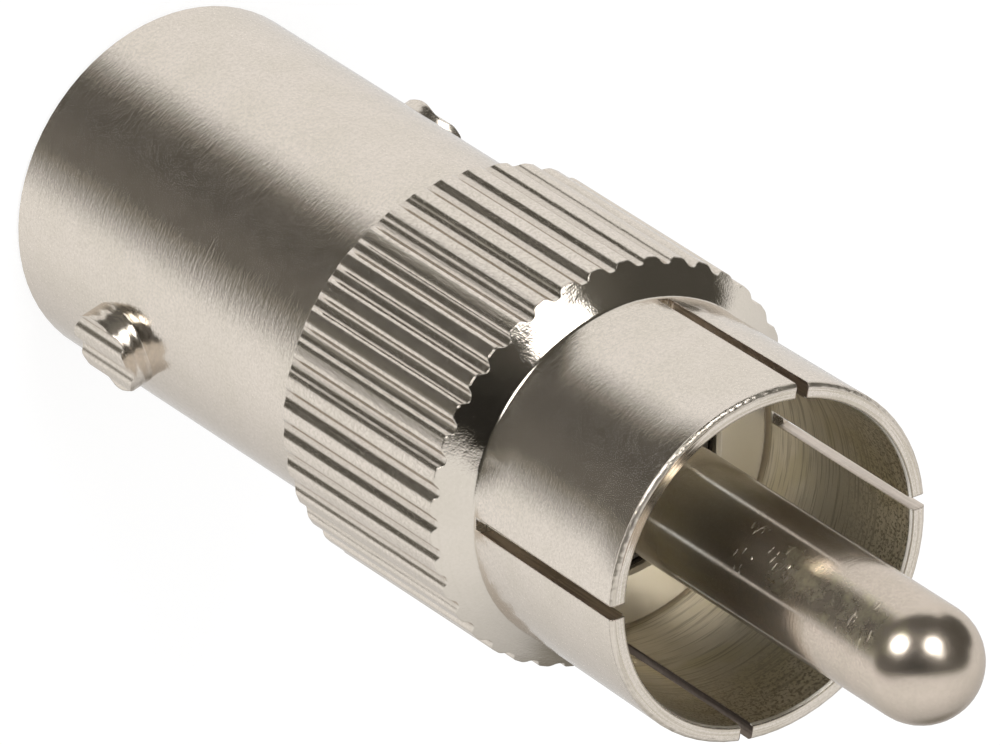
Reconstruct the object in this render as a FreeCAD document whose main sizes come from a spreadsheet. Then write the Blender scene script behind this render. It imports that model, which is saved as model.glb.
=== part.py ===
"""Bayonet to phono adapter: a knurled metal body, a centre pin, a socket contact and two insulators.

The part stands on the open end of its bayonet barrel. The origin is the centre of that end,
and +Z runs along the common axis to the tip of the phono pin. Lengths are in millimetres.
"""
import FreeCAD, Part
import math
import os
import Sketcher

Vector = FreeCAD.Vector

SIZES = (
    ("bar_d", 11.0, "knurled bar that the body is turned from, over its crests"),
    ("barrel_d", 9.65, "bayonet barrel, outside"),
    ("barrel_len", 12.65, "bayonet barrel, from its open end to the grip"),
    ("barrel_edge", 0.12, "chamfer outside the barrel's open end"),
    ("knurl_len", 6.5, "grip"),
    ("knurl_edge", 0.16, "chamfer at the barrel end of the grip"),
    ("shoulder_len", 0.68, "cone between the grip and the shell"),
    ("shell_root_d", 9.40, "phono shell, outside, at the cone"),
    ("shell_mouth_d", 9.57, "phono shell, outside, at its sprung open mouth"),
    ("shell_len", 6.0, "phono shell, from the cone to the mouth"),
    ("shell_fillet", 0.12, "fillet where the cone meets the shell"),
    ("rim_edge", 0.12, "rounding outside the shell's mouth"),
    ("lug_d", 2.3, "bayonet lug"),
    ("lug_z", 4.45, "centre of the lugs above the open end"),
    ("lug_angle", 40.0, "direction of the lugs, from +X"),
    ("knurl_teeth", 40, "ridges round the bar"),
    ("knurl_angle", 5.3, "direction of the first groove, from +X"),
    ("knurl_depth", 0.151, "floor of a groove below the crests"),
    ("knurl_lip", 0.086, "where the rounding of a ridge ends, below the crests"),
    ("knurl_notch", 0.332, "width of a groove there"),
    ("knurl_round", 0.64, "width of a groove with its rounded lips"),
    ("knurl_floor", 0.066, "width of the floor of a groove"),
    ("knurl_radius", 0.194, "rounding of the ridges"),
    ("knurl_foot", 0.167, "rounding at the foot of the ridges"),
    ("socket_d", 8.10, "bayonet socket, inside"),
    ("socket_depth", 8.6, "bayonet socket, from the open end to its floor"),
    ("socket_lead", 0.2, "lead-in chamfer of the bayonet socket"),
    ("seat_len", 6.6, "bore that holds the white dielectric"),
    ("cup_d", 8.70, "phono shell, inside"),
    ("cup_depth", 6.0, "phono shell, from the mouth to its floor"),
    ("cup_lead_len", 0.15, "lead-in chamfer of the phono shell, along the axis"),
    ("cup_lead_w", 0.05, "lead-in chamfer of the phono shell, across the wall"),
    ("relief_w", 0.04, "groove round the edge of the shell's floor, width"),
    ("relief_depth", 0.12, "groove round the edge of the shell's floor, depth"),
    ("relief_edge", 0.07, "chamfer on the inner edge of that groove"),
    ("slot_w", 0.36, "saw cuts that divide the shell into four fingers"),
    ("slot_len", 5.85, "saw cuts, from the mouth"),
    ("slot_angle", 24.4, "direction of the first saw cut, from +X"),
    ("slot_between", 77.9, "angle between the two saw cuts"),
    ("first_slot_aside", -0.20, "first saw cut, to the left of the axis"),
    ("second_slot_aside", 0.14, "second saw cut, to the left of the axis"),
    ("push_gap", 0.02, "gap at the radius between pieces pushed together"),
    ("dielectric_d", 6.5, "white dielectric in its bore"),
    ("boss_d", 4.8, "boss of the white dielectric"),
    ("boss_depth", 5.3, "face of the boss below the open end"),
    ("boss_edge", 0.15, "chamfer round the face of the boss"),
    ("bush_d", 5.6, "dark bush round the pin"),
    ("bush_recess", 0.3, "bush below the floor of the phono shell"),
    ("bush_edge", 0.1, "chamfers on the bush and at its bore"),
    ("contact_d", 2.2, "socket contact, outside"),
    ("contact_bore_d", 1.36, "socket contact, inside"),
    ("contact_bore_len", 5.0, "socket contact, depth of its bore"),
    ("contact_lead", 0.2, "lead-in chamfer of the socket contact"),
    ("contact_recess", 0.1, "front of the contact below the face of the boss"),
    ("contact_slot_w", 0.3, "saw cut that divides the contact"),
    ("contact_slot_len", 4.0, "saw cut, from the front of the contact"),
    ("collar_d", 3.6, "collar that traps the contact between the insulators"),
    ("collar_len", 1.0, "collar, along the axis"),
    ("pin_d", 3.15, "phono pin"),
    ("pin_reach", 7.85, "tip of the pin beyond the mouth of the shell"),
    ("neck_d", 2.4, "pin inside the dark bush"),
    ("tail_d", 1.5, "tail of the pin, pressed into the contact"),
    ("tail_len", 3.0, "tail of the pin, along the axis"),
    ("tail_room", 0.3, "free depth below the tail"),
)

GRIP_END_Z = "(sizes.barrel_len + sizes.knurl_len)"
SHELL_Z = "(" + GRIP_END_Z + " + sizes.shoulder_len)"
MOUTH_Z = "(" + SHELL_Z + " + sizes.shell_len)"
CUP_FLOOR_Z = "(" + MOUTH_Z + " - sizes.cup_depth)"
TIP_Z = "(" + MOUTH_Z + " + sizes.pin_reach)"
SEAT_Z = "(sizes.socket_depth + sizes.seat_len)"
BUSH_TOP_Z = "(" + CUP_FLOOR_Z + " - sizes.bush_recess)"
CONTACT_Z = "(sizes.boss_depth + sizes.contact_recess)"
CONTACT_LEN = "(" + SEAT_Z + " - " + CONTACT_Z + ")"
BUSH_LEN = "(" + BUSH_TOP_Z + " - " + SEAT_Z + ")"
DIELECTRIC_LEN = "(" + SEAT_Z + " - sizes.boss_depth)"
CLEAR = "1"


def fill_sheet(doc):
    """Write each size and its alias into the sheet."""
    sheet = doc.addObject("Spreadsheet::Sheet", "sizes")
    for row, (alias, value, meaning) in enumerate(SIZES, start=1):
        sheet.set("A%d" % row, meaning)
        sheet.set("B%d" % row, str(value))
        sheet.setAlias("B%d" % row, alias)
    doc.recompute()
    return sheet


def new_body(doc, label, height="0"):
    """Start a sub-part whose own origin stands at a height on the common axis."""
    body = doc.addObject("PartDesign::Body", label)
    body.Label = label
    body.setExpression(".Placement.Base.z", height)
    return body


def origin_feature(body, role):
    """Find one of the body's own origin planes or axes."""
    for feature in body.Origin.OriginFeatures:
        if feature.Role == role:
            return feature
    raise ValueError("no origin feature " + role)


def new_sketch(body, name, plane):
    """Start a sketch on one of the body's own origin planes."""
    sketch = body.newObject("Sketcher::SketchObject", name)
    sketch.AttachmentSupport = [(origin_feature(body, plane), "")]
    sketch.MapMode = "FlatFace"
    return sketch


def bound(sketch, constraint, expression):
    """Add a constraint and tie its value to the sheet."""
    index = sketch.addConstraint(constraint)
    sketch.setExpression("Constraints[%d]" % index, expression)


def arc_between(start, end, radius, side):
    """Make the short arc from start to end; side is 1 with its centre on the left, -1 on the right."""
    chord = end - start
    normal = Vector(-chord.y, chord.x, 0).normalize()
    height = math.sqrt(radius ** 2 - (chord.Length / 2) ** 2)
    centre = (start + end) / 2 + normal * (side * height)
    first, last = (start, end) if side > 0 else (end, start)
    angles = [math.atan2(point.y - centre.y, point.x - centre.x) for point in (first, last)]
    return Part.ArcOfCircle(Part.Circle(centre, Vector(0, 0, 1), radius), angles[0], angles[1])


def outline(body, name, plane, corners):
    """Draw a closed outline with every corner tied to the sheet.

    A corner is (x, y), or (x, y, radius, side) where an arc leaves it for the next corner.
    """
    sketch = new_sketch(body, name, plane)
    points = [Vector(sketch.evalExpression(c[0]), sketch.evalExpression(c[1]), 0) for c in corners]
    ends = []
    for index, corner in enumerate(corners):
        start, end = points[index], points[(index + 1) % len(points)]
        if len(corner) == 2:
            sketch.addGeometry(Part.LineSegment(start, end))
            ends.append((1, 2))
        else:
            radius = sketch.evalExpression(corner[2])
            sketch.addGeometry(arc_between(start, end, radius, corner[3]))
            ends.append((1, 2) if corner[3] > 0 else (2, 1))
    for index, corner in enumerate(corners):
        other = (index + 1) % len(corners)
        sketch.addConstraint(Sketcher.Constraint("Coincident", index, ends[index][1], other, ends[other][0]))
    for index, corner in enumerate(corners):
        near = ends[index][0]
        bound(sketch, Sketcher.Constraint("DistanceX", -1, 1, index, near, points[index].x), corner[0])
        bound(sketch, Sketcher.Constraint("DistanceY", -1, 1, index, near, points[index].y), corner[1])
        if len(corner) > 2:
            radius = sketch.evalExpression(corner[2])
            bound(sketch, Sketcher.Constraint("Radius", index, radius), corner[2])
    return sketch


def turned(body, kind, name, sketch):
    """Revolve a sketch once round the body's axis, as added or removed material."""
    feature = body.newObject("PartDesign::" + kind, name)
    feature.Profile = sketch
    feature.ReferenceAxis = (sketch, ["V_Axis"])
    feature.Angle = 360
    sketch.Visibility = False
    return feature


def saw_cut(body, name, width, length, reach, start, angle, aside="0"):
    """Cut a slot across the axis or a little aside of it, upwards from a height, as a slitting saw does."""
    right = "(" + aside + " - " + width + " / 2)"
    left = "(" + aside + " + " + width + " / 2)"
    sketch = outline(body, name + "_sketch", "XY_Plane", (
        ("-" + reach, right),
        (reach, right),
        (reach, left),
        ("-" + reach, left),
    ))
    sketch.setExpression(".AttachmentOffset.Base.z", start)
    sketch.setExpression(".AttachmentOffset.Rotation.Angle", angle)
    cut = body.newObject("PartDesign::Pocket", name)
    cut.Profile = sketch
    cut.Reversed = True
    cut.setExpression("Length", length)
    return cut


def edges_where(shape, chosen):
    """Name the edges of a shape of which every sampled point passes a test."""
    names = []
    for index, edge in enumerate(shape.Edges, start=1):
        if all(chosen(point) for point in edge.discretize(7)):
            names.append("Edge%d" % index)
    return names


def body_blank(body):
    """Turn the outside: barrel, grip, shoulder cone and the shell with its sprung mouth."""
    bar = "sizes.bar_d / 2"
    barrel = "sizes.barrel_d / 2"
    root = "sizes.shell_root_d / 2"
    mouth = "sizes.shell_mouth_d / 2"
    profile = outline(body, "blank_profile", "XZ_Plane", (
        ("0", "0"),
        (barrel + " - sizes.barrel_edge", "0"),
        (barrel, "sizes.barrel_edge"),
        (barrel, "sizes.barrel_len"),
        (bar + " - sizes.knurl_edge", "sizes.barrel_len"),
        (bar, "sizes.barrel_len + sizes.knurl_edge"),
        (bar, GRIP_END_Z),
        (root, SHELL_Z),
        (mouth, MOUTH_Z + " - sizes.rim_edge", "sizes.rim_edge", 1),
        (mouth + " - sizes.rim_edge", MOUTH_Z),
        ("0", MOUTH_Z),
    ))
    blank = turned(body, "Revolution", "blank", profile)
    body.Document.recompute()
    sheet = body.Document.getObject("sizes")
    shell_z = sheet.barrel_len + sheet.knurl_len + sheet.shoulder_len
    fillet = body.newObject("PartDesign::Fillet", "shell_fillet")
    fillet.Base = (blank, edges_where(blank.Shape, lambda p: abs(p.z - shell_z) < 1e-6))
    fillet.setExpression("Radius", "sizes.shell_fillet")
    return fillet


def body_lugs(body):
    """Leave the two lugs on the barrel as one rod through it, turned off at the bar's own size."""
    sketch = new_sketch(body, "lug_sketch", "XZ_Plane")
    sheet = body.Document.getObject("sizes")
    sketch.addGeometry(Part.Circle(Vector(0, sheet.lug_z, 0), Vector(0, 0, 1), sheet.lug_d / 2))
    bound(sketch, Sketcher.Constraint("DistanceX", -1, 1, 0, 3, 0.0), "0")
    bound(sketch, Sketcher.Constraint("DistanceY", -1, 1, 0, 3, sheet.lug_z), "sizes.lug_z")
    bound(sketch, Sketcher.Constraint("Radius", 0, sheet.lug_d / 2), "sizes.lug_d / 2")
    sketch.AttachmentOffset = FreeCAD.Placement(Vector(0, 0, 0), FreeCAD.Rotation(Vector(0, 1, 0), 1))
    sketch.setExpression(".AttachmentOffset.Rotation.Angle", "sizes.lug_angle + 90")
    rod = body.newObject("PartDesign::Pad", "lug_rod")
    rod.Profile = sketch
    rod.Midplane = True
    rod.setExpression("Length", "sizes.bar_d + " + CLEAR)
    ring = outline(body, "lug_end_profile", "XZ_Plane", (
        ("sizes.bar_d / 2", "sizes.lug_z - sizes.lug_d"),
        ("sizes.bar_d / 2 + " + CLEAR, "sizes.lug_z - sizes.lug_d"),
        ("sizes.bar_d / 2 + " + CLEAR, "sizes.lug_z + sizes.lug_d"),
        ("sizes.bar_d / 2", "sizes.lug_z + sizes.lug_d"),
    ))
    return turned(body, "Groove", "lug_ends", ring)


def body_bores(body):
    """Bore the bayonet socket, the seats of both insulators and the phono shell in one profile."""
    socket = "sizes.socket_d / 2"
    seat = "sizes.dielectric_d / 2 + sizes.push_gap"
    web = "sizes.bush_d / 2 + sizes.push_gap"
    cup = "sizes.cup_d / 2"
    profile = outline(body, "bore_profile", "XZ_Plane", (
        ("0", "-" + CLEAR),
        (socket + " + sizes.socket_lead", "-" + CLEAR),
        (socket + " + sizes.socket_lead", "0"),
        (socket, "sizes.socket_lead"),
        (socket, "sizes.socket_depth"),
        (seat, "sizes.socket_depth"),
        (seat, SEAT_Z),
        (web, SEAT_Z),
        (web, CUP_FLOOR_Z + " - sizes.bush_edge"),
        (web + " + sizes.bush_edge", CUP_FLOOR_Z),
        (cup + " - sizes.relief_w - sizes.relief_edge", CUP_FLOOR_Z),
        (cup + " - sizes.relief_w", CUP_FLOOR_Z + " - sizes.relief_edge"),
        (cup + " - sizes.relief_w", CUP_FLOOR_Z + " - sizes.relief_depth"),
        (cup, CUP_FLOOR_Z + " - sizes.relief_depth"),
        (cup, MOUTH_Z + " - sizes.cup_lead_len"),
        (cup + " + sizes.cup_lead_w", MOUTH_Z),
        (cup + " + sizes.cup_lead_w", MOUTH_Z + " + " + CLEAR),
        ("0", MOUTH_Z + " + " + CLEAR),
    ))
    return turned(body, "Groove", "bores", profile)


def body_slots(body):
    """Saw the shell into four fingers with two cuts across its mouth."""
    start = MOUTH_Z + " - sizes.slot_len"
    reach = "(sizes.shell_mouth_d / 2 + " + CLEAR + ")"
    length = "sizes.slot_len + " + CLEAR
    first = "sizes.slot_angle"
    second = "sizes.slot_angle + sizes.slot_between"
    saw_cut(body, "first_slots", "sizes.slot_w", length, reach, start, first, "sizes.first_slot_aside")
    saw_cut(body, "second_slots", "sizes.slot_w", length, reach, start, second, "sizes.second_slot_aside")


def body_knurl(body):
    """Cut the straight knurl along the whole bar, so that the ends of the lugs keep its ridges."""
    crest = "sqrt((sizes.bar_d / 2)^2 - (sizes.knurl_round / 2)^2)"
    outside = "sizes.bar_d / 2 + " + CLEAR
    lip = "sizes.bar_d / 2 - sizes.knurl_lip"
    floor = "sizes.bar_d / 2 - sizes.knurl_depth"
    groove = outline(body, "knurl_sketch", "XY_Plane", (
        (outside, "-sizes.knurl_round / 2"),
        (outside, "sizes.knurl_round / 2"),
        (crest, "sizes.knurl_round / 2", "sizes.knurl_radius", -1),
        (lip, "sizes.knurl_notch / 2", "sizes.knurl_foot", 1),
        (floor, "sizes.knurl_floor / 2"),
        (floor, "-sizes.knurl_floor / 2", "sizes.knurl_foot", 1),
        (lip, "-sizes.knurl_notch / 2", "sizes.knurl_radius", -1),
        (crest, "-sizes.knurl_round / 2"),
    ))
    groove.setExpression(".AttachmentOffset.Rotation.Angle", "sizes.knurl_angle")
    cut = body.newObject("PartDesign::Pocket", "knurl_groove")
    cut.Profile = groove
    cut.Reversed = True
    cut.setExpression("Length", SHELL_Z)
    pattern = body.newObject("PartDesign::PolarPattern", "knurl")
    pattern.Originals = [cut]
    pattern.Axis = (origin_feature(body, "Z_Axis"), [""])
    pattern.Angle = 360
    pattern.setExpression("Occurrences", "sizes.knurl_teeth")
    body.Tip = pattern
    return pattern


def make_body(doc):
    body = new_body(doc, "body")
    body_blank(body)
    body_lugs(body)
    body_bores(body)
    body_slots(body)
    body_knurl(body)


def make_bnc_insulator(doc):
    """Turn the white dielectric: a plug in its bore with a boss towards the open end."""
    body = new_body(doc, "bnc_insulator", "sizes.boss_depth")
    bore = "sizes.contact_d / 2 + sizes.push_gap"
    collar = "sizes.collar_d / 2 + sizes.push_gap"
    floor = "sizes.socket_depth - sizes.boss_depth"
    profile = outline(body, "dielectric_profile", "XZ_Plane", (
        (bore, "0"),
        ("sizes.boss_d / 2 - sizes.boss_edge", "0"),
        ("sizes.boss_d / 2", "sizes.boss_edge"),
        ("sizes.boss_d / 2", floor),
        ("sizes.dielectric_d / 2", floor),
        ("sizes.dielectric_d / 2", DIELECTRIC_LEN),
        (collar, DIELECTRIC_LEN),
        (collar, DIELECTRIC_LEN + " - sizes.collar_len"),
        (bore, DIELECTRIC_LEN + " - sizes.collar_len"),
    ))
    turned(body, "Revolution", "dielectric", profile)


def make_rca_insulator(doc):
    """Turn the dark bush that carries the pin in the floor of the phono shell."""
    body = new_body(doc, "rca_insulator", SEAT_Z)
    bore = "sizes.neck_d / 2 + sizes.push_gap"
    profile = outline(body, "bush_profile", "XZ_Plane", (
        (bore, "0"),
        ("sizes.bush_d / 2", "0"),
        ("sizes.bush_d / 2", BUSH_LEN + " - sizes.bush_edge"),
        ("sizes.bush_d / 2 - sizes.bush_edge", BUSH_LEN),
        (bore, BUSH_LEN),
    ))
    turned(body, "Revolution", "bush", profile)


def make_bnc_contact(doc):
    """Turn and slot the socket contact, with a collar and a hole for the tail of the pin."""
    body = new_body(doc, "bnc_contact", CONTACT_Z)
    outside = "sizes.contact_d / 2"
    bore = "sizes.contact_bore_d / 2"
    hole = "sizes.tail_d / 2 + sizes.push_gap"
    hole_end = CONTACT_LEN + " - sizes.tail_len - sizes.tail_room"
    profile = outline(body, "contact_profile", "XZ_Plane", (
        (bore + " + sizes.contact_lead", "0"),
        (outside, "0"),
        (outside, CONTACT_LEN + " - sizes.collar_len"),
        ("sizes.collar_d / 2", CONTACT_LEN + " - sizes.collar_len"),
        ("sizes.collar_d / 2", CONTACT_LEN),
        (hole, CONTACT_LEN),
        (hole, hole_end),
        ("0", hole_end),
        ("0", "sizes.contact_bore_len"),
        (bore, "sizes.contact_bore_len"),
        (bore, "sizes.contact_lead"),
    ))
    turned(body, "Revolution", "contact", profile)
    reach = "(sizes.contact_d / 2 + " + CLEAR + ")"
    saw_cut(body, "contact_slot", "sizes.contact_slot_w", "sizes.contact_slot_len", reach, "0", "0")


def make_rca_pin(doc):
    """Turn the phono pin: ball nose, straight shank, neck in the bush and tail in the contact."""
    tail_z = SEAT_Z + " - sizes.tail_len"
    body = new_body(doc, "rca_pin", tail_z)
    neck = "sizes.tail_len"
    shank = "(" + BUSH_TOP_Z + " - " + SEAT_Z + " + sizes.tail_len)"
    tip = "(" + TIP_Z + " - " + SEAT_Z + " + sizes.tail_len)"
    profile = outline(body, "pin_profile", "XZ_Plane", (
        ("0", "0"),
        ("sizes.tail_d / 2", "0"),
        ("sizes.tail_d / 2", neck),
        ("sizes.neck_d / 2", neck),
        ("sizes.neck_d / 2", shank),
        ("sizes.pin_d / 2", shank),
        ("sizes.pin_d / 2", tip + " - sizes.pin_d / 2", "sizes.pin_d / 2", 1),
        ("0", tip),
    ))
    turned(body, "Revolution", "pin", profile)


def check(doc):
    """Stop if any object failed, any cut removed nothing or any sub-part isn't one valid solid."""
    for item in doc.Objects:
        if {"Invalid", "Error"} & set(item.State):
            raise RuntimeError(item.Name + " failed")
        if item.TypeId in ("PartDesign::Groove", "PartDesign::Pocket"):
            if item.Shape.Volume >= item.BaseFeature.Shape.Volume - 1e-4:
                raise RuntimeError(item.Name + " removed nothing")
    for body in doc.findObjects("PartDesign::Body"):
        shape = body.Shape
        if shape.isNull() or not shape.isValid() or len(shape.Solids) != 1:
            raise RuntimeError(body.Label + " isn't one valid solid")


def write_parts(doc):
    """Write each sub-part to a file named after its label."""
    os.makedirs("parts", exist_ok=True)
    for body in doc.findObjects("PartDesign::Body"):
        body.Shape.exportStep("parts/%s.step" % body.Label)
        box = body.Shape.BoundBox
        print("%s: %.2f mm3, z %.3f to %.3f" % (body.Label, body.Shape.Volume, box.ZMin, box.ZMax))


def main():
    doc = FreeCAD.newDocument("adapter")
    fill_sheet(doc)
    make_body(doc)
    make_bnc_insulator(doc)
    make_rca_insulator(doc)
    make_bnc_contact(doc)
    make_rca_pin(doc)
    doc.recompute()
    check(doc)
    write_parts(doc)


main()
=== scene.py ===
"""Looks of the bayonet to phono adapter: plated metal, insulators, a pale floor and a studio."""
import functools
import math
from types import SimpleNamespace

import bpy
from mathutils import Matrix, Vector

MM = 0.001

# Camera, as the photograph's perspective gives it: place, right and up directions, focal length.
CAMERA_AT = Vector((0.331547, -0.113355, 0.382612))
CAMERA_RIGHT = Vector((-0.7516351, -0.3135573, 0.5802814))
CAMERA_UP = Vector((0.0983277, -0.9232123, -0.371498))
CAMERA_LENS = 732.17
CAMERA_SENSOR = 36.0
CAMERA_CLIP = (0.01, 20.0)

# Studio seen in the metal, as azimuth and elevation in degrees: a white surround with one dark opening
# and three soft lamps in it, deepest round the camera, and a dimmer corner behind the part.
DARK_CENTRE = (-48.4, 21.5)
DARK_ROLL = -37.4
DARK_HALF_ANGLES = (96.0, 60.0)
DARK_EDGE = (0.92, 1.08)
DARK_LEVELS = (0.024, 0.086)
DARK_FOOT = {"at": (-17.5, -10.0), "inner": 42.0, "outer": 60.0}
DIM_PATCHES = (
    {"at": (22.0, -46.0), "inner": 4.0, "outer": 22.0, "level": 0.24},
    {"at": (8.0, -50.0), "inner": 6.0, "outer": 42.0, "level": 0.13},
)
DARK_CORE = {"at": (-10.0, 40.0), "inner": 15.0, "outer": 62.0}
DARK_ARM = {"at": (-125.0, 8.0), "inner": 23.0, "outer": 31.0}
DIM_CORNER = {"at": (135.0, -12.0), "inner": (2.0, 24.0, 0.40), "outer": (10.0, 80.0, 0.60)}
SURROUND_LEVEL = 1.04
LAMPS = (
    {"at": (-23.0, -6.5), "inner": 12.0, "outer": 17.5, "halo": 44.0, "level": 6.5},
    {"at": (-66.0, 37.0), "inner": 11.0, "outer": 17.0, "halo": 44.0, "level": 6.5},
    {"at": (-75.0, 55.0), "inner": 3.0, "outer": 12.0, "halo": 40.0, "level": 2.2},
)
HALO_LEVEL = 0.045
DIFFUSE_LEVEL = 0.75
NEARLY_ONE = 0.9999
NEARLY_NOTHING = 1e-5

# The studio's dark parts are a little warm: full tint below the first level, none above the second.
DARK_TINT = (1.0, 0.95, 0.82)
TINTED_LEVELS = (0.10, 0.60)
WHITE = (1.0, 1.0, 1.0)

# Lamps that no reflection shows: name, azimuth, elevation and watts.
HIDDEN_LAMPS = (("key", -66.0, 48.0, 0.55), ("fill", 70.0, 40.0, 0.3))
HIDDEN_LAMP_SIZE = 0.25
HIDDEN_LAMP_DISTANCE = 0.45

# Floor: half its side in metres, its colour, and the glow that whitens it for the camera only.
FLOOR_HALF = 1.5
FLOOR_COLOUR = (0.86, 0.86, 0.86)
FLOOR_GLOW = 1.17
FLOOR_GLOW_SHARE = 0.65

# Heights and radii of the body's zones, in millimetres.
GRIP_START = 12.65
GRIP_END = 19.15
CONE_RADII = (4.62, 4.7)
CUP_FLOOR = 19.83
CUP_RADIUS = 4.35
CREST_RADIUS = 5.5
MOUTH = 25.83
RIM_RADIUS = 4.665
LUG_END = 5.75
LUG_RADIUS = 4.86

# Directions seen from the axis, in degrees: the barrel's rubbed side, the side of the cup's wall that gets
# painted light (the other side gets painted shade), and the side of the pin that carries the nicks.
RUBBED_SIDE = 5.0
CUP_PAINTED_LIGHT_SIDE = 196.0
NICKED_SIDE = -22.0

# Zones are products of smooth steps: what is measured, where the step is 0 and where it is 1, in
# millimetres. A zone can also start from another one.
BODY_ZONES = {
    "cup": (("z", CUP_FLOOR - 0.3, CUP_FLOOR - 0.2), ("radius", CUP_RADIUS + 0.06, CUP_RADIUS + 0.02)),
    "cup_bottom": (("z", CUP_FLOOR + 0.06, CUP_FLOOR + 0.02),),
    "cone": (
        ("z", GRIP_END - 0.02, GRIP_END + 0.02), ("z", CUP_FLOOR + 0.25, CUP_FLOOR + 0.02),
        ("radius", *CONE_RADII),
    ),
    "shell": (("z", CUP_FLOOR - 0.2, CUP_FLOOR),),
    "shoulder": (("z", GRIP_END - 0.10, GRIP_END), ("z", GRIP_END + 0.10, GRIP_END + 0.02)),
    "grip": (("z", GRIP_START - 0.05, GRIP_START), ("z", GRIP_END + 0.02, GRIP_END - 0.02)),
    "groove": ("grip", ("radius", CREST_RADIUS - 0.05, CREST_RADIUS - 0.14)),
    "rubbed": (("rubbed_side", 4.45, 4.78), ("z", 5.0, 8.0), ("z", GRIP_START, GRIP_START - 0.5)),
    "lug": (("radius", LUG_RADIUS, LUG_RADIUS + 0.03), ("z", LUG_END + 0.05, LUG_END)),
    "rim": (("z", MOUTH - 0.13, MOUTH - 0.10), ("radius", CUP_RADIUS - 0.02, CUP_RADIUS)),
    "outer_edge": ("rim", ("radius", RIM_RADIUS - 0.02, RIM_RADIUS + 0.02)),
    "inner_edge": ("rim", ("radius", CUP_RADIUS + 0.085, CUP_RADIUS + 0.065)),
    "lead": (
        ("z", MOUTH - 0.125, MOUTH - 0.105), ("z", MOUTH - 0.015, MOUTH - 0.03),
        ("radius", CUP_RADIUS + 0.06, CUP_RADIUS + 0.05), ("radius", CUP_RADIUS - 0.02, CUP_RADIUS),
    ),
    "wall": (("z", CUP_FLOOR + 0.3, CUP_FLOOR + 0.4), ("radius", CUP_RADIUS + 0.01, CUP_RADIUS + 0.03)),
}
PIN_ZONES = {
    "front": (("nicked_side", 1.40, 1.50),),
    "first_nicks": (("z", 25.9, 26.3), ("z", 28.3, 27.9)),
    "last_nicks": (("z", 30.3, 30.7), ("z", 31.9, 31.5)),
    "worn_length": (("z", 27.0, 28.2),),
    "nose": (("z", 31.6, 32.3),),
}

# Saw cuts across the shell: azimuth, distance aside of the axis, and how much painted shade and how much
# near-black painted shade their faces get behind and ahead of the axis, where ahead is towards the azimuth.
SAW_CUTS = (
    {"azimuth": 24.4, "aside": -0.20, "painted_shade": (0.45, 1.0), "soot": (0.0, 0.0)},
    {"azimuth": 102.3, "aside": 0.14, "painted_shade": (1.0, 1.0), "soot": (0.0, 0.94)},
)
SAW_HALF_WIDTH = 0.18
SAW_FACE_DEPTH = (0.03, 0.012)
SAW_SIDES = (-1.0, 1.0)

# Noises, by name: how many cells per millimetre (one number, or one each along x, y and z), then
# detail, roughness and distortion.
BODY_NOISES = {
    "turning": ((0.5, 0.5, 14.0), 2.0, 0.6),
    "strokes": ((3.0, 3.0, 12.0), 2.0, 0.6, 0.4),
    "drawn": ((14.0, 14.0, 0.5), 2.0, 0.6),
    "combed": ((13.0, 13.0, 2.0), 2.0, 0.6),
    "mottle": (0.8, 2.0, 0.6),
    "grain": (12.0, 3.0, 0.7),
    "peel": (19.0, 2.0, 0.6),
    "dents": (5.5, 1.0, 0.5),
    "patches": ((2.0, 2.0, 3.4), 3.0, 0.6),
    "brass": ((0.45, 0.45, 0.7), 2.0, 0.6),
}
PIN_NOISES = {
    "turning": ((0.9, 0.9, 12.0), 2.0, 0.6),
    "mottle": (1.6, 2.0, 0.6),
    "grain": (14.0, 2.0, 0.6),
    "blotch": (2.2, 3.0, 0.6),
    "nicks": ((2.2, 2.2, 8.0), 1.0, 0.5, 0.4),
}
CONTACT_TURNING = ((0.9, 0.9, 14.0), 3.0, 0.6)
PLASTIC_TURNING = ((0.7, 0.7, 10.0), 3.0, 0.6)
PLASTIC_MOTTLE = (1.2, 4.0, 0.6)

# Rings round the axis on the end faces and lugs, and the ridges across the lugs.
RING_FINENESS = {"along": 17.0, "around": 0.5}
RING_NOISE = (1.0, 2.0, 0.5)
RIDGE_SHIFT = 2.8
RIDGE_PITCH = 0.29

# Shares of two noises in the veil's cloudiness.
CLOUD_SHARES = {"patches": 0.22, "grain": 0.78}

# Values of a noise over which something sets in: none at the first, all at the second.
MOTTLE_RANGE = (0.3, 0.7)
BODY_RANGES = {
    "turned_film": (0.55, 0.78), "grain_film": (0.35, 0.65), "brassy": (0.48, 0.66),
    "specks": (0.50, 0.57), "cup_turning": (0.48, 0.66), "rim_rings": (0.45, 0.62),
    "sawn_painted_shade": (0.4, 0.6), "rough_turning": (0.35, 0.7), "rough_strokes": (0.35, 0.65),
    "clouds": (0.40, 0.62), "cup_clouds": (0.42, 0.60),
}
PIN_RANGES = {
    "film": (0.35, 0.65), "worn": (0.30, 0.75), "nicks": (0.645, 0.70), "rough_turning": (0.35, 0.7),
    "veil_grain": (0.3, 0.7),
}

# Greatest shares of the films, stains, tones, painted light and painted shade in the colour.
BODY_SHARES = {
    "turned_film": 0.12, "grain_film": 0.16, "groove_darkening": 0.30, "cup_painted_light": 0.8, "brassy": 0.42,
    "specks": 0.9, "cup_turning": 0.5, "cone_film": 0.35, "rim_rings": 0.4, "sawn_painted_shade": 0.85,
    "inner_edge_darkening": 0.8,
}
PIN_SHARES = {"film": 0.14, "worn": 0.9, "in_cup": 0.85}

# Where the cup's wall turns from painted shade to painted light, in millimetres across the axis, and the
# heights over which its specks thicken and over which the pin gets painted light down in the cup.
CUP_PAINTED_LIGHT_TURN = (-3.5, 3.5)
SPECKED_HEIGHTS = (MOUTH - 3.4, MOUTH - 0.4)
PIN_PAINTED_LIGHT_HEIGHTS = (26.5, 24.5)

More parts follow.
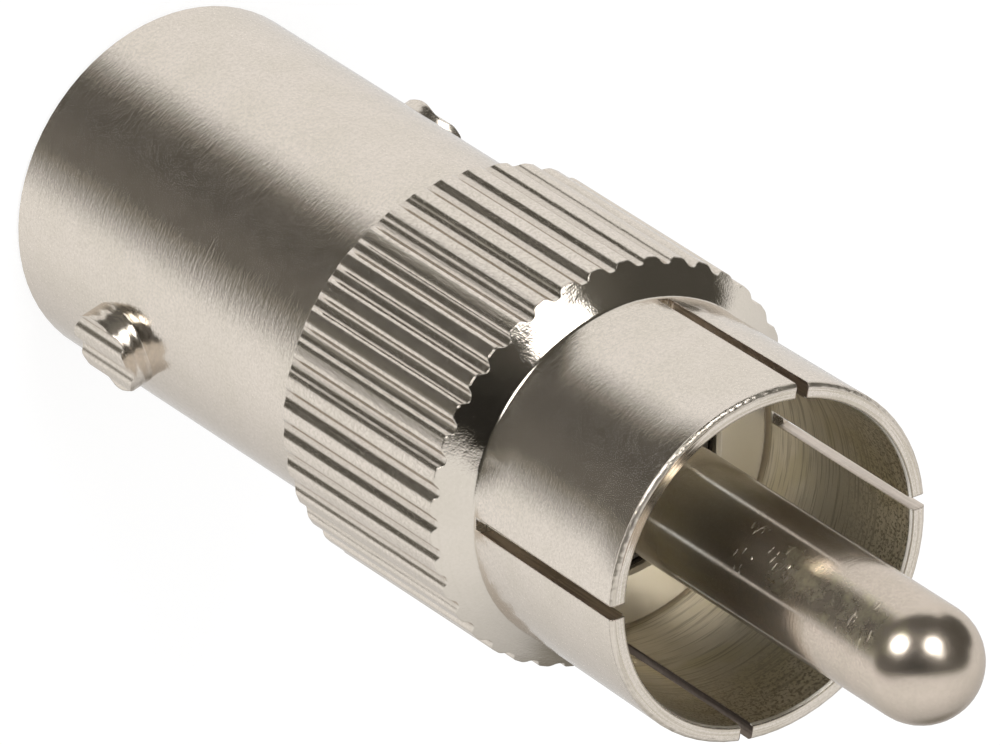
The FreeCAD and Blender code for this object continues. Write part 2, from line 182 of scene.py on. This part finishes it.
# Roughness of the clear reflection and share of the soft ones; two numbers are the ends of a range.
BODY_ROUGHNESS = {
    "nickel": (0.085, 0.125), "cone": 0.05, "cup": (0.30, 0.37), "lug": 0.18, "outer_edge": 0.33,
    "sawn": 0.30,
}
BODY_VEIL = {"nickel": (0.01, 0.19), "cup": (0.46, 0.64), "cone": 0.01, "lead": 1.0}
BODY_VEIL_ROUGHNESS = 0.50
PIN_ROUGHNESS = {"shank": (0.13, 0.19), "nose": 0.23}
PIN_VEIL = {"shank": (0.15, 0.23), "worn": 0.42, "nose": 0.12, "nicks": 0.6}
PIN_VEIL_ROUGHNESS = 0.45
CONTACT_ROUGHNESS = 0.22
DIELECTRIC_ROUGHNESS = 0.42
BUSH_ROUGHNESS = 0.45

# Colours of the plate, of what lies on it, of painted light and shade, and of the other materials; two
# colours are a range's ends.
NICKEL = ((0.715, 0.650, 0.575), (0.685, 0.625, 0.545))
TURNED_FILM = (0.5, 0.45, 0.38)
GRAIN_FILM = (0.52, 0.47, 0.41)
# Darker colour for the knurl's grooves.
GROOVE_DARKENING = (0.46, 0.41, 0.35)
# Painted shade and painted light for the cup's wall, from its dark side to its lit side.
CUP_PAINTED_LIGHT_AND_SHADE = ((0.52, 0.49, 0.41), (0.92, 0.87, 0.74))
BRASSY = (0.66, 0.61, 0.40)
CUP_STAIN = (0.35, 0.31, 0.235)
CUP_BOTTOM = (0.86, 0.80, 0.70)
CONE_FILM = (0.60, 0.56, 0.49)
RIM_RINGS = (0.42, 0.37, 0.28)
# Painted shade for the saw cuts' faces, as a range of two colours, then a near-black painted shade.
SAWN_PAINTED_SHADE = ((0.55, 0.46, 0.39), (0.35, 0.29, 0.24))
SAWN_PAINTED_DARK = (0.125, 0.10, 0.08)
# Darker colour for a line along the rim's inner edge.
INNER_EDGE_DARKENING = (0.28, 0.24, 0.18)
# Painted highlight: a light line along the mouth's lead-in.
LEAD_PAINTED_HIGHLIGHT = (0.95, 0.91, 0.84)
PLATE_TINT = (0.90, 0.88, 0.86)
PIN_NICKEL = ((0.635, 0.550, 0.465), (0.60, 0.525, 0.44))
PIN_FILM = (0.46, 0.40, 0.33)
PIN_WORN = (0.66, 0.60, 0.42)
# Painted light on the pin down in the cup.
PIN_PAINTED_LIGHT_IN_CUP = (0.74, 0.71, 0.635)
GOLD = ((0.86, 0.63, 0.29), (0.78, 0.56, 0.24))
DIELECTRIC = ((0.84, 0.83, 0.79), (0.79, 0.78, 0.73))
BUSH = ((0.115, 0.100, 0.078), (0.085, 0.075, 0.060))

# Heights of the small relief, in units of the bump's distance.
RELIEF = {
    "turning": 0.5, "strokes": 2.0, "rubbed_strokes": 3.4, "shell_strokes": 1.1,
    "cup_turning": 3.4, "cup_strokes": 0.35, "combed": 2.4, "grain": 1.1, "cone_peel": 1.6,
    "rim_rings": 2.4, "edge_dents": 20.0, "lug_ridges": 1.9, "lug_rings": 1.8,
    "sawn_drawn": 4.0, "sawn_strokes": 5.0, "lead_slope": 600.0, "pin_turning": 1.0, "pin_grain": 0.35,
}
RELIEF_STRENGTH = 0.3
RELIEF_DISTANCE = 0.006 * MM
CONTACT_RELIEF_DISTANCE = 0.004 * MM
NICK_DISTANCE = 0.009 * MM
NICK_STRENGTH = 1.0
EDGE_RADIUS = 0.035 * MM
SHOULDER_EDGE_RADIUS = 0.075 * MM
EDGE_SAMPLES = 4

# Shading joins across a surface border below this turn, in degrees, and vertices this close are one.
SHARP_TURN = 25.0
SAME_PLACE = 0.0005 * MM


def direction(azimuth, elevation=0.0):
    """Unit vector from two angles in degrees."""
    a, e = math.radians(azimuth), math.radians(elevation)
    return Vector((math.cos(e) * math.cos(a), math.cos(e) * math.sin(a), math.sin(e)))


class Nodes:
    """Short calls that add nodes to one tree and link them."""

    def __init__(self, tree):
        self.tree = tree

    def add(self, kind, inputs=None, **settings):
        node = self.tree.nodes.new(kind)
        for name, value in settings.items():
            setattr(node, name, value)
        for name, value in (inputs or {}).items():
            self.put(node.inputs[name], value)
        return node

    def put(self, socket, value):
        """Link a socket or a node's first output, or set a value; a colour is given without its alpha."""
        if isinstance(value, bpy.types.NodeSocket):
            self.tree.links.new(value, socket)
        elif isinstance(value, bpy.types.Node):
            self.tree.links.new(value.outputs[0], socket)
        elif socket.type == "RGBA":
            socket.default_value = (*value, 1.0)
        else:
            socket.default_value = value

    def math(self, operation, *values):
        node = self.add("ShaderNodeMath", operation=operation)
        for socket, value in zip(node.inputs, values):
            self.put(socket, value)
        return node.outputs[0]

    def times(self, *factors):
        return functools.reduce(functools.partial(self.math, "MULTIPLY"), factors)

    def plus(self, a, b):
        return self.math("ADD", a, b)

    def minus(self, a, b):
        return self.math("SUBTRACT", a, b)

    def length(self, a, b):
        """Length of a vector in a plane, from its two parts."""
        return self.math("SQRT", self.plus(self.times(a, a), self.times(b, b)))

    def dot(self, a, b):
        node = self.add("ShaderNodeVectorMath", operation="DOT_PRODUCT")
        self.put(node.inputs[0], a)
        self.put(node.inputs[1], b)
        return node.outputs["Value"]

    def scaled(self, a, factors):
        node = self.add("ShaderNodeVectorMath", operation="MULTIPLY")
        self.put(node.inputs[0], a)
        self.put(node.inputs[1], factors)
        return node.outputs["Vector"]

    def ramp(self, value, low, high, start=0.0, end=1.0):
        """Smooth step of a value between two limits."""
        node = self.add("ShaderNodeMapRange", {
            "Value": value, "From Min": low, "From Max": high, "To Min": start, "To Max": end,
        }, interpolation_type="SMOOTHSTEP")
        return node.outputs["Result"]

    def noise(self, place, fineness, detail, roughness, distortion=0.0):
        """Noise with so many cells per unit: one number, or one along each axis."""
        if isinstance(fineness, tuple):
            place, fineness = self.scaled(place, fineness), 1.0
        node = self.add("ShaderNodeTexNoise", {
            "Vector": place, "Scale": fineness, "Detail": detail, "Roughness": roughness,
            "Distortion": distortion,
        })
        return node.outputs["Fac"]

    def noises(self, place, table):
        return SimpleNamespace(**{name: self.noise(place, *given) for name, given in table.items()})

    def zones(self, table, **measures):
        """Masks from a table of zones: 1 inside each zone and 0 outside it."""
        masks = {}
        for name, steps in table.items():
            masks[name] = self.times(*(
                masks[step] if isinstance(step, str) else self.ramp(measures[step[0]], *step[1:])
                for step in steps
            ))
        return SimpleNamespace(**masks)

    def mix(self, factor, a, b):
        """Blend of two colours."""
        node = self.add("ShaderNodeMix", data_type="RGBA")
        for index, value in ((0, factor), (6, a), (7, b)):
            self.put(node.inputs[index], value)
        return node.outputs[2]

    def lerp(self, factor, a, b):
        """Blend of two numbers."""
        node = self.add("ShaderNodeMix", data_type="FLOAT")
        for index, value in ((0, factor), (2, a), (3, b)):
            self.put(node.inputs[index], value)
        return node.outputs[0]

    def blend(self, factor, a, b):
        """Blend of two shaders."""
        node = self.add("ShaderNodeMixShader", {"Fac": factor})
        self.put(node.inputs[1], a)
        self.put(node.inputs[2], b)
        return node

    def bump(self, height, distance, strength=RELIEF_STRENGTH, **inputs):
        return self.add("ShaderNodeBump", {
            "Strength": strength, "Distance": distance, "Height": height, **inputs,
        })

    def show(self, surface, kind="ShaderNodeOutputMaterial"):
        """Send a shader to the tree's output."""
        output = self.add(kind)
        self.put(output.inputs["Surface"], surface)


def new_material(name):
    material = bpy.data.materials.new(name)
    material.use_nodes = True
    material.node_tree.nodes.clear()
    return material, Nodes(material.node_tree)


def place_camera():
    camera = bpy.data.objects.new("camera", bpy.data.cameras.new("camera"))
    bpy.context.scene.collection.objects.link(camera)
    back = CAMERA_RIGHT.cross(CAMERA_UP)
    turn = Matrix((CAMERA_RIGHT, CAMERA_UP, back)).transposed().to_4x4()
    camera.matrix_world = Matrix.Translation(CAMERA_AT) @ turn
    camera.data.sensor_width = CAMERA_SENSOR
    camera.data.sensor_fit = "HORIZONTAL"
    camera.data.lens = CAMERA_LENS
    camera.data.clip_start, camera.data.clip_end = CAMERA_CLIP
    bpy.context.scene.camera = camera


def angle_from(n, ray, at):
    """Degrees between a ray and a direction of the studio."""
    nearness = n.math("MINIMUM", n.dot(ray, direction(*at)), NEARLY_ONE)
    nearness = n.math("MAXIMUM", nearness, -NEARLY_ONE)
    return n.math("DEGREES", n.math("ARCCOSINE", nearness))


def dark_opening(n, ray):
    """Mask of the studio's dark opening: 0 in it and 1 in the surround."""
    centre = direction(*DARK_CENTRE)
    side = Vector((-centre.y, centre.x, 0.0)).normalized()
    rise = centre.cross(side)
    roll = math.radians(DARK_ROLL)
    first = side * math.cos(roll) + rise * math.sin(roll)
    second = rise * math.cos(roll) - side * math.sin(roll)
    angle = angle_from(n, ray, DARK_CENTRE)
    across, along = n.dot(ray, first), n.dot(ray, second)
    reach = n.math("MAXIMUM", n.length(across, along), NEARLY_NOTHING)
    shares = [
        n.math("DIVIDE", n.math("DIVIDE", n.times(part, angle), reach), half_angle)
        for part, half_angle in zip((across, along), DARK_HALF_ANGLES)
    ]
    light = n.ramp(n.length(*shares), *DARK_EDGE)
    for shade in (DARK_ARM, DARK_FOOT):
        away = angle_from(n, ray, shade["at"])
        light = n.math("MINIMUM", light, n.ramp(away, shade["inner"], shade["outer"]))
    return light


def studio_pattern(n, ray):
    """Level that metal sees in a direction: surround, dark opening and the lamps in it."""
    light = dark_opening(n, ray)
    core = angle_from(n, ray, DARK_CORE["at"])
    dark = n.ramp(core, DARK_CORE["inner"], DARK_CORE["outer"], *DARK_LEVELS)
    for patch in DIM_PATCHES:
        away = angle_from(n, ray, patch["at"])
        dark = n.math("MAXIMUM", dark, n.ramp(away, patch["outer"], patch["inner"], 0.0, patch["level"]))
    corner = angle_from(n, ray, DIM_CORNER["at"])
    surround = SURROUND_LEVEL
    for near, far, level in (DIM_CORNER["inner"], DIM_CORNER["outer"]):
        surround = n.times(surround, n.ramp(corner, near, far, level, 1.0))
    level = n.lerp(light, dark, surround)
    for lamp in LAMPS:
        away = angle_from(n, ray, lamp["at"])
        level = n.plus(level, n.ramp(away, lamp["halo"], lamp["inner"], 0.0, HALO_LEVEL))
        lit = n.ramp(away, lamp["outer"], lamp["inner"], 0.0, lamp["level"])
        level = n.math("MAXIMUM", level, lit)
    return level


def light_studio():
    """Plain world for the camera and for diffuse light; metal sees the studio pattern."""
    world = bpy.data.worlds.new("studio")
    bpy.context.scene.world = world
    world.use_nodes = True
    world.node_tree.nodes.clear()
    world.cycles.sampling_method = "NONE"
    n = Nodes(world.node_tree)
    path = n.add("ShaderNodeLightPath")
    ray = n.add("ShaderNodeTexCoord").outputs["Generated"]
    in_metal = n.math("MAXIMUM", path.outputs["Is Glossy Ray"], path.outputs["Is Transmission Ray"])
    level = n.lerp(in_metal, DIFFUSE_LEVEL, studio_pattern(n, ray))
    level = n.lerp(path.outputs["Is Camera Ray"], level, 1.0)
    tint = n.mix(n.ramp(level, *TINTED_LEVELS), DARK_TINT, WHITE)
    n.show(n.add("ShaderNodeBackground", {"Color": tint, "Strength": level}), "ShaderNodeOutputWorld")


def hang_lamps():
    """Soft lamps for the surfaces that aren't metal; no reflection shows them."""
    for name, azimuth, elevation, watts in HIDDEN_LAMPS:
        lamp = bpy.data.lights.new(name, "AREA")
        lamp.shape = "DISK"
        lamp.size = HIDDEN_LAMP_SIZE
        lamp.energy = watts
        lit = bpy.data.objects.new(name, lamp)
        bpy.context.scene.collection.objects.link(lit)
        at = direction(azimuth, elevation)
        lit.location = at * HIDDEN_LAMP_DISTANCE
        lit.rotation_euler = at.to_track_quat("Z", "Y").to_euler()
        lit.visible_glossy = False


def lay_floor():
    """Pale floor that looks white to the camera."""
    mesh = bpy.data.meshes.new("floor")
    corner = FLOOR_HALF
    places = [(-corner, -corner, 0), (corner, -corner, 0), (corner, corner, 0), (-corner, corner, 0)]
    mesh.from_pydata(places, [], [(0, 1, 2, 3)])
    floor = bpy.data.objects.new("floor", mesh)
    bpy.context.scene.collection.objects.link(floor)
    material, n = new_material("floor")
    path = n.add("ShaderNodeLightPath")
    plain = n.add("ShaderNodeBsdfDiffuse", {"Color": FLOOR_COLOUR})
    white = n.add("ShaderNodeEmission", {"Color": WHITE, "Strength": FLOOR_GLOW})
    n.show(n.blend(n.times(path.outputs["Is Camera Ray"], FLOOR_GLOW_SHARE), plain, white))
    mesh.materials.append(material)
    floor.visible_glossy = False


def plated(n, colour, rough, veil, veil_rough, normal):
    """Plated metal: a clear reflection under a thin veil of much softer ones."""
    layers = []
    for layer_rough in (rough, veil_rough):
        shader = n.add("ShaderNodeBsdfPrincipled", {
            "Base Color": colour, "Roughness": layer_rough, "Normal": normal, "Specular Tint": PLATE_TINT,
        })
        shader.inputs["Metallic"].default_value = 1.0
        layers.append(shader)
    return n.blend(veil, *layers)


def millimetres(n):
    """Place on the object in the shared frame, in millimetres."""
    return n.scaled(n.add("ShaderNodeTexCoord").outputs["Object"], (1000.0, 1000.0, 1000.0))


def saw_faces(n, place, wall):
    """Masks of the sawn faces of the shell: all of them, those with painted shade, and those with near-black
    painted shade.
    """
    sawn, worn, sooty = [], [], []
    for cut in SAW_CUTS:
        ahead = n.dot(place, direction(cut["azimuth"]))
        left = n.dot(place, direction(cut["azimuth"] + 90.0))
        off = n.math("ABSOLUTE", n.minus(left, cut["aside"]))
        mask = n.ramp(n.math("ABSOLUTE", n.minus(off, SAW_HALF_WIDTH)), *SAW_FACE_DEPTH)
        sawn.append(mask)
        # Painted shade on each face, and near-black painted shade on the faces that take it.
        worn.append(n.times(mask, n.ramp(ahead, *SAW_SIDES, *cut["painted_shade"])))
        sooty.append(n.times(mask, n.ramp(ahead, *SAW_SIDES, *cut["soot"])))
    return [n.times(n.math("MAXIMUM", *pair), wall) for pair in (sawn, worn, sooty)]


def body_colour(n, place, z, on, noise, rings):
    """Nickel with its films, painted light and shade in the cup, stains, painted shade in the saw
    cuts and a painted highlight on the lead, laid over each other in this order.
    """
    at, share = BODY_RANGES, BODY_SHARES
    colour = n.mix(n.ramp(noise.mottle, *MOTTLE_RANGE), *NICKEL)
    turned = n.times(n.ramp(noise.turning, *at["turned_film"]), share["turned_film"])
    colour = n.mix(turned, colour, TURNED_FILM)
    grainy = n.ramp(noise.grain, *at["grain_film"], 0.0, share["grain_film"])
    colour = n.mix(grainy, colour, GRAIN_FILM)
    # Darker colour in the knurl's grooves.
    colour = n.mix(n.times(on.groove, share["groove_darkening"]), colour, GROOVE_DARKENING)

    # Painted light on one side of the cup's wall and painted shade on the other.
    cup_painted_light = n.mix(n.ramp(n.dot(place, direction(CUP_PAINTED_LIGHT_SIDE)), *CUP_PAINTED_LIGHT_TURN), *CUP_PAINTED_LIGHT_AND_SHADE)
    colour = n.mix(n.times(on.cup, share["cup_painted_light"]), colour, cup_painted_light)
    brassy = n.ramp(noise.brass, *at["brassy"], 0.0, share["brassy"])
    colour = n.mix(n.times(on.cup, brassy), colour, BRASSY)
    thickened = n.ramp(z, *SPECKED_HEIGHTS, 0.0, share["specks"])
    specks = n.times(thickened, n.ramp(noise.grain, *at["specks"]))
    turned = n.ramp(noise.turning, *at["cup_turning"], 0.0, share["cup_turning"])
    colour = n.mix(n.times(on.cup, n.math("MAXIMUM", specks, turned)), colour, CUP_STAIN)
    colour = n.mix(n.times(on.cup, on.cup_bottom), colour, CUP_BOTTOM)

    colour = n.mix(n.times(on.cone, share["cone_film"]), colour, CONE_FILM)
    ringed = n.ramp(rings, *at["rim_rings"], 0.0, share["rim_rings"])
    colour = n.mix(n.times(on.rim, ringed), colour, RIM_RINGS)
    # Painted shade on the saw cuts' faces, then near-black painted shade on one face of the second cut.
    sawn_shade_colour = n.mix(n.ramp(noise.drawn, *at["sawn_painted_shade"]), *SAWN_PAINTED_SHADE)
    colour = n.mix(n.times(on.worn, share["sawn_painted_shade"]), colour, sawn_shade_colour)
    colour = n.mix(on.sooty, colour, SAWN_PAINTED_DARK)
    # Darker colour along the rim's inner edge.
    colour = n.mix(n.times(on.inner_edge, share["inner_edge_darkening"]), colour, INNER_EDGE_DARKENING)
    # Painted highlight: a light line along the mouth's lead-in.
    return n.mix(on.lead, colour, LEAD_PAINTED_HIGHLIGHT)


def body_roughness(n, on, noise):
    at, given = BODY_RANGES, BODY_ROUGHNESS
    rough = n.lerp(n.ramp(noise.turning, *at["rough_turning"]), *given["nickel"])
    rough = n.lerp(on.cone, rough, given["cone"])
    in_cup = n.lerp(n.ramp(noise.strokes, *at["rough_strokes"]), *given["cup"])
    rough = n.lerp(on.cup, rough, in_cup)
    rough = n.lerp(on.lug, rough, given["lug"])
    rough = n.lerp(on.outer_edge, rough, given["outer_edge"])
    return n.lerp(on.sawn, rough, given["sawn"])


def body_veil(n, on, noise):
    """Share of the softer reflections."""
    at, given = BODY_RANGES, BODY_VEIL
    shares = (n.times(getattr(noise, name), share) for name, share in CLOUD_SHARES.items())
    clouds = n.plus(*shares)
    veil = n.lerp(n.ramp(clouds, *at["clouds"]), *given["nickel"])
    veil = n.lerp(on.cup, veil, n.lerp(n.ramp(clouds, *at["cup_clouds"]), *given["cup"]))
    veil = n.lerp(on.cone, veil, given["cone"])
    return n.lerp(on.lead, veil, given["lead"])


def body_relief(n, z, radius, on, noise, rings):
    """Height of the tool marks, dents and ridges."""
    def marks(first, first_name, second, second_name):
        return n.plus(n.times(first, RELIEF[first_name]), n.times(second, RELIEF[second_name]))

    turns = n.times(n.minus(radius, LUG_RADIUS), 2.0 * math.pi)
    ridges = n.math("SINE", n.math("DIVIDE", n.minus(turns, RIDGE_SHIFT), RIDGE_PITCH))
    on_barrel = n.lerp(on.rubbed, RELIEF["strokes"], RELIEF["rubbed_strokes"])
    brushed = n.times(noise.strokes, n.lerp(on.shell, on_barrel, RELIEF["shell_strokes"]))
    fine = n.lerp(on.cone, n.times(noise.grain, RELIEF["grain"]), n.times(noise.peel, RELIEF["cone_peel"]))

    height = n.plus(n.times(noise.turning, RELIEF["turning"]), brushed)
    height = n.lerp(on.cup, height, marks(noise.turning, "cup_turning", noise.strokes, "cup_strokes"))
    height = n.lerp(on.grip, height, n.times(noise.combed, RELIEF["combed"]))
    height = n.plus(height, fine)
    height = n.lerp(on.rim, height, n.times(rings, RELIEF["rim_rings"]))
    height = n.lerp(on.outer_edge, height, n.times(noise.dents, RELIEF["edge_dents"]))
    height = n.lerp(on.lug, height, marks(ridges, "lug_ridges", rings, "lug_rings"))
    height = n.lerp(on.sawn, height, marks(noise.drawn, "sawn_drawn", noise.strokes, "sawn_strokes"))
    return n.lerp(on.lead, height, n.times(n.minus(MOUTH, z), RELIEF["lead_slope"]))


def body_material():
    """Bright nickel over turned brass, with marks, wear, and painted light and shade by zone."""
    material, n = new_material("nickel_body")
    place = millimetres(n)
    x, y, z = n.add("ShaderNodeSeparateXYZ", {"Vector": place}).outputs
    radius = n.length(x, y)
    on = n.zones(BODY_ZONES, z=z, radius=radius, rubbed_side=n.dot(place, direction(RUBBED_SIDE)))
    # The last two masks mark painted shade on the saw cuts' faces.
    on.sawn, on.worn, on.sooty = saw_faces(n, place, on.wall)
    noise = n.noises(place, BODY_NOISES)
    around = RING_FINENESS["around"]
    rings = n.noise(n.add("ShaderNodeCombineXYZ", {
        "X": n.times(radius, RING_FINENESS["along"]), "Y": n.times(x, around), "Z": n.times(y, around),
    }), *RING_NOISE)

    radii = n.lerp(on.shoulder, EDGE_RADIUS, SHOULDER_EDGE_RADIUS)
    edge = n.add("ShaderNodeBevel", {"Radius": radii}, samples=EDGE_SAMPLES)
    bump = n.bump(body_relief(n, z, radius, on, noise, rings), RELIEF_DISTANCE, Normal=edge)
    colour = body_colour(n, place, z, on, noise, rings)
    rough, veil = body_roughness(n, on, noise), body_veil(n, on, noise)
    n.show(plated(n, colour, rough, veil, BODY_VEIL_ROUGHNESS, bump))
    return material


def pin_material():
    """Duller nickel on the pin, with turning marks along its shank and a few nicks on its front."""
    material, n = new_material("nickel_pin")
    place = millimetres(n)
    z = n.add("ShaderNodeSeparateXYZ", {"Vector": place}).outputs["Z"]
    noise, at = n.noises(place, PIN_NOISES), PIN_RANGES
    on = n.zones(PIN_ZONES, z=z, nicked_side=n.dot(place, direction(NICKED_SIDE)))
    nicked_lengths = n.math("MAXIMUM", on.first_nicks, on.last_nicks)
    nicks = n.times(n.ramp(noise.nicks, *at["nicks"]), n.times(on.front, nicked_lengths))
    blotch = n.ramp(noise.blotch, *at["worn"], 0.0, PIN_SHARES["worn"])
    worn = n.times(blotch, on.front, on.worn_length)

    colour = n.mix(n.ramp(noise.mottle, *MOTTLE_RANGE), *PIN_NICKEL)
    colour = n.mix(n.ramp(noise.grain, *at["film"], 0.0, PIN_SHARES["film"]), colour, PIN_FILM)
    colour = n.mix(worn, colour, PIN_WORN)
    # Painted light: the pin is made lighter down in the cup.
    in_cup = n.ramp(z, *PIN_PAINTED_LIGHT_HEIGHTS, 0.0, PIN_SHARES["in_cup"])
    colour = n.mix(in_cup, colour, PIN_PAINTED_LIGHT_IN_CUP)

    rough = n.lerp(n.ramp(noise.turning, *at["rough_turning"]), *PIN_ROUGHNESS["shank"])
    rough = n.lerp(on.nose, rough, PIN_ROUGHNESS["nose"])

    veil = n.lerp(n.ramp(noise.grain, *at["veil_grain"]), *PIN_VEIL["shank"])
    veil = n.lerp(worn, veil, PIN_VEIL["worn"])
    veil = n.lerp(on.nose, veil, PIN_VEIL["nose"])
    veil = n.lerp(nicks, veil, PIN_VEIL["nicks"])

    turned, grainy = n.times(noise.turning, RELIEF["pin_turning"]), n.times(noise.grain, RELIEF["pin_grain"])
    bump = n.bump(n.plus(turned, grainy), RELIEF_DISTANCE)
    nicked = n.bump(nicks, NICK_DISTANCE, NICK_STRENGTH, Normal=bump)
    n.show(plated(n, colour, rough, veil, PIN_VEIL_ROUGHNESS, nicked))
    return material


def contact_material():
    """Gold-coloured plate on the socket contact."""
    material, n = new_material("gold_contact")
    turning = n.noise(millimetres(n), *CONTACT_TURNING)
    colour = n.mix(n.ramp(turning, *MOTTLE_RANGE), *GOLD)
    bump = n.bump(turning, CONTACT_RELIEF_DISTANCE)
    shader = n.add("ShaderNodeBsdfPrincipled", {"Base Color": colour, "Normal": bump})
    shader.inputs["Metallic"].default_value = 1.0
    shader.inputs["Roughness"].default_value = CONTACT_ROUGHNESS
    n.show(shader)
    return material


def plastic_material(name, colours, roughness):
    """Turned plastic with faint tool marks and a little mottling."""
    material, n = new_material(name)
    place = millimetres(n)
    turning = n.noise(place, *PLASTIC_TURNING)
    colour = n.mix(n.ramp(n.noise(place, *PLASTIC_MOTTLE), *MOTTLE_RANGE), *colours)
    bump = n.bump(turning, RELIEF_DISTANCE)
    shader = n.add("ShaderNodeBsdfPrincipled", {"Base Color": colour, "Normal": bump})
    shader.inputs["Roughness"].default_value = roughness
    n.show(shader)
    return material


def seam_joiner():
    """Node group that joins the split vertices along surface borders and keeps the steep edges sharp."""
    group = bpy.data.node_groups.new("joined_seams", "GeometryNodeTree")
    for way in ("INPUT", "OUTPUT"):
        group.interface.new_socket("Geometry", in_out=way, socket_type="NodeSocketGeometry")
    n = Nodes(group)
    start = n.add("NodeGroupInput")
    merged = n.add("GeometryNodeMergeByDistance", {"Geometry": start, "Distance": SAME_PLACE})
    plain = n.add("GeometryNodeRemoveAttribute", {"Geometry": merged, "Name": "custom_normal"})
    smooth = n.add("GeometryNodeSetShadeSmooth", {"Geometry": plain, "Shade Smooth": True}, domain="FACE")
    turn = n.add("GeometryNodeInputMeshEdgeAngle").outputs["Unsigned Angle"]
    steep = n.math("GREATER_THAN", turn, math.radians(SHARP_TURN))
    sharp = n.add("GeometryNodeSetShadeSmooth", {
        "Geometry": smooth, "Selection": steep, "Shade Smooth": False,
    }, domain="EDGE")
    end = n.add("NodeGroupOutput")
    n.put(end.inputs[0], sharp)
    return group


def join_seams(frame):
    """Run the shading on across the borders of tangent surfaces; no vertex moves."""
    group = seam_joiner()
    for piece in frame["nodes"].values():
        piece.modifiers.new("joined_seams", "NODES").node_group = group
        even = piece.modifiers.new("even_normals", "WEIGHTED_NORMAL")
        even.mode = "FACE_AREA_WITH_ANGLE"
        even.keep_sharp = True


def dress(frame):
    """Give each node of the frame its material."""
    looks = {
        "body": body_material(),
        "rca_pin": pin_material(),
        "bnc_contact": contact_material(),
        "bnc_insulator": plastic_material("white_dielectric", DIELECTRIC, DIELECTRIC_ROUGHNESS),
        "rca_insulator": plastic_material("dark_bush", BUSH, BUSH_ROUGHNESS),
    }
    for node, material in looks.items():
        piece = frame["nodes"][node]
        if not piece.material_slots:
            piece.data.materials.append(material)
        for slot in piece.material_slots:
            slot.material = material


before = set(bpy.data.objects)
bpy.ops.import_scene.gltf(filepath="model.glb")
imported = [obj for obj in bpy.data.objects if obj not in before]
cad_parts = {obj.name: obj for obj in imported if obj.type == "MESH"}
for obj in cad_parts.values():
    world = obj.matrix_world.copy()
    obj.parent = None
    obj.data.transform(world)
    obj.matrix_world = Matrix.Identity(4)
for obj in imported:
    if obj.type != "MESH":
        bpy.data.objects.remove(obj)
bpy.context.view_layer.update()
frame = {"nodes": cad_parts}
place_camera()
light_studio()
hang_lamps()
lay_floor()
join_seams(frame)
dress(frame)
bpy.context.scene.view_settings.view_transform = "Standard"
